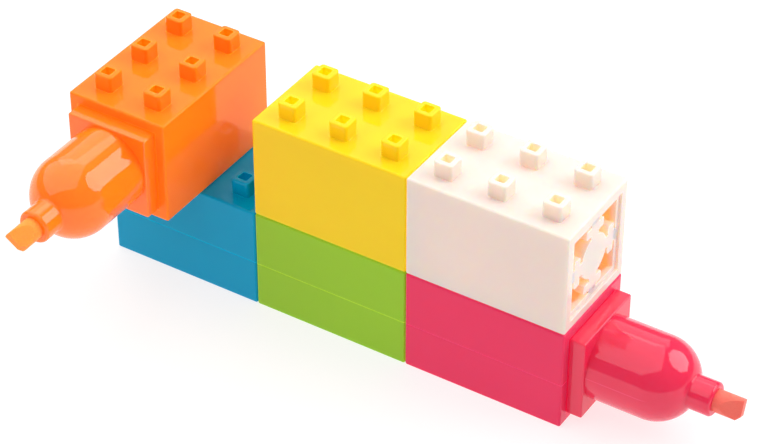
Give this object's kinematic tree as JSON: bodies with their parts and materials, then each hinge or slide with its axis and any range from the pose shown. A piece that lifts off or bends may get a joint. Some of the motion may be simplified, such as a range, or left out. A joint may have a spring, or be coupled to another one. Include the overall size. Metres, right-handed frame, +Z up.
{
  "type": "interlocking brick highlighter set",
  "caption": "Stack of toy-brick highlighters with hollow square studs; each domed nose with a chisel nib plugs into and is capped by the next brick.",
  "frame": {"origin": "middle of the green brick's underside", "axes": "+X along the row towards the magenta brick's nib, +Z up; the orange brick's nib points to -Y"},
  "size_m": [0.153, 0.075, 0.0551],
  "materials": {
    "orange_plastic": "moulded satin gloss",
    "orange_nose_plastic": "polished gloss",
    "orange_fibre": "ink-soaked fibre",
    "yellow_plastic": "moulded satin gloss",
    "yellow_nose_plastic": "polished gloss",
    "yellow_fibre": "ink-soaked fibre",
    "blue_plastic": "moulded satin gloss",
    "blue_nose_plastic": "polished gloss",
    "blue_fibre": "ink-soaked fibre",
    "green_plastic": "moulded satin gloss",
    "green_nose_plastic": "polished gloss",
    "green_fibre": "ink-soaked fibre",
    "magenta_plastic": "moulded satin gloss",
    "magenta_nose_plastic": "polished gloss",
    "magenta_fibre": "ink-soaked fibre",
    "white_plastic": "moulded satin gloss",
    "plug_plastic": "moulded matte"
  },
  "bodies": {
    "orange": {"orange_housing": "orange_plastic", "orange_seal_insert": "orange_plastic", "orange_nose_shell": "orange_nose_plastic", "orange_reservoir": "orange_fibre", "orange_rear_plug": "plug_plastic", "orange_nib": "orange_fibre"},
    "yellow": {"yellow_housing": "yellow_plastic", "yellow_seal_insert": "yellow_plastic", "yellow_nose_shell": "yellow_nose_plastic", "yellow_reservoir": "yellow_fibre", "yellow_rear_plug": "plug_plastic", "yellow_nib": "yellow_fibre"},
    "blue": {"blue_housing": "blue_plastic", "blue_seal_insert": "blue_plastic", "blue_nose_shell": "blue_nose_plastic", "blue_reservoir": "blue_fibre", "blue_rear_plug": "plug_plastic", "blue_nib": "blue_fibre"},
    "green": {"green_housing": "green_plastic", "green_seal_insert": "green_plastic", "green_nose_shell": "green_nose_plastic", "green_reservoir": "green_fibre", "green_rear_plug": "plug_plastic", "green_nib": "green_fibre"},
    "magenta": {"magenta_housing": "magenta_plastic", "magenta_seal_insert": "magenta_plastic", "magenta_nose_shell": "magenta_nose_plastic", "magenta_reservoir": "magenta_fibre", "magenta_rear_plug": "plug_plastic", "magenta_nib": "magenta_fibre"},
    "white": {"white_housing": "white_plastic", "white_seal_insert": "white_plastic"}
  },
  "joints": [
    {"name": "blue_pull", "type": "slide", "parent": "green", "child": "blue", "axis": [-1, 0, 0], "range_m": [0, 0.045]},
    {"name": "orange_lift", "type": "slide", "parent": "blue", "child": "orange", "axis": [0, 0, 1], "range_m": [0, 0.02]},
    {"name": "yellow_lift", "type": "slide", "parent": "green", "child": "yellow", "axis": [0, 0, 1], "range_m": [0, 0.02]},
    {"name": "white_pull", "type": "slide", "parent": "yellow", "child": "white", "axis": [1, 0, 0], "range_m": [0, 0.045]},
    {"name": "magenta_pull", "type": "slide", "parent": "green", "child": "magenta", "axis": [1, 0, 0], "range_m": [0, 0.045]}
  ],
  "couplings": [
    {"joint": "magenta_pull", "follows": "white_pull", "ratio": 1}
  ]
}
